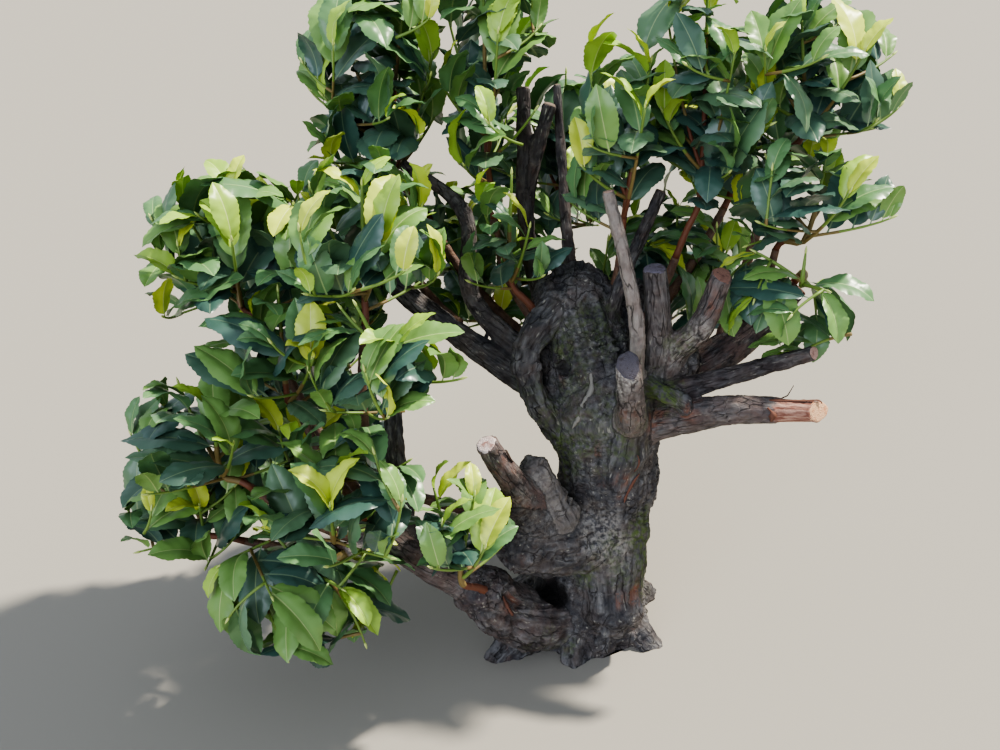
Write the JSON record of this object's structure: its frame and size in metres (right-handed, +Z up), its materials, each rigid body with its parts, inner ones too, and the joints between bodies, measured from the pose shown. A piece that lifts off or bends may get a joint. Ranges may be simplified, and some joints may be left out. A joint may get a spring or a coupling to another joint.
{
  "type": "tea bush",
  "caption": "Old tea bush cut back hard and grown again: a squat knuckled stump on flared roots, sawn stubs and poles, and masses of young leafy shoots.",
  "frame": {"origin": "middle of the flat cut under the trunk, at ground level", "axes": "+Z up; -Y is the front, the side with the fewest leaves, where the stump shows; +X to the right from the front"},
  "size_m": [0.8515, 0.5951, 0.8171],
  "materials": {
    "bark": "rough, cracked bark",
    "young_stem": "smooth young bark",
    "foliage": "glossy leaves"
  },
  "bodies": {
    "root": {"stump": "bark", "back_pole_left": "bark", "back_pole_right": "bark", "back_pole_thin": "bark", "bent_branch": "bark", "dark_pole": "bark", "face_stub": "bark", "fork_stub": "bark", "hidden_stub": "bark", "hooked_stub": "bark", "lobe_stub": "bark", "low_left_stub": "bark", "lower_side_stub": "bark", "pale_pole": "bark", "shaded_stub": "bark", "thick_right_stub": "bark", "upper_side_stub": "bark", "upright_stub": "bark", "stem_back": "young_stem", "stem_left_back_low": "young_stem", "stem_left_far": "young_stem", "stem_left_high": "young_stem", "stem_left_low": "young_stem", "stem_left_middle": "young_stem", "stem_left_outer": "young_stem", "stem_left_waist": "young_stem", "stem_right_back": "young_stem", "stem_right_inner": "young_stem", "stem_right_low": "young_stem", "stem_right_outer": "young_stem", "stem_right_tall": "young_stem", "stem_upper_left": "young_stem", "stem_upper_middle": "young_stem", "crown_back": "foliage", "crown_back_left": "foliage", "crown_back_right": "foliage", "crown_centre": "foliage", "crown_front_sprig": "foliage", "crown_left_back": "foliage", "crown_left_back_low": "foliage", "crown_left_far": "foliage", "crown_left_front": "foliage", "crown_left_front_low": "foliage", "crown_left_high": "foliage", "crown_left_low": "foliage", "crown_left_middle": "foliage", "crown_left_outer": "foliage", "crown_left_skirt": "foliage", "crown_left_waist": "foliage", "crown_right_back": "foliage", "crown_right_hanging": "foliage", "crown_right_inner": "foliage", "crown_right_low": "foliage", "crown_right_outer": "foliage", "crown_right_tall": "foliage", "crown_upper_left": "foliage", "crown_upper_middle": "foliage"}
  },
  "joints": []
}
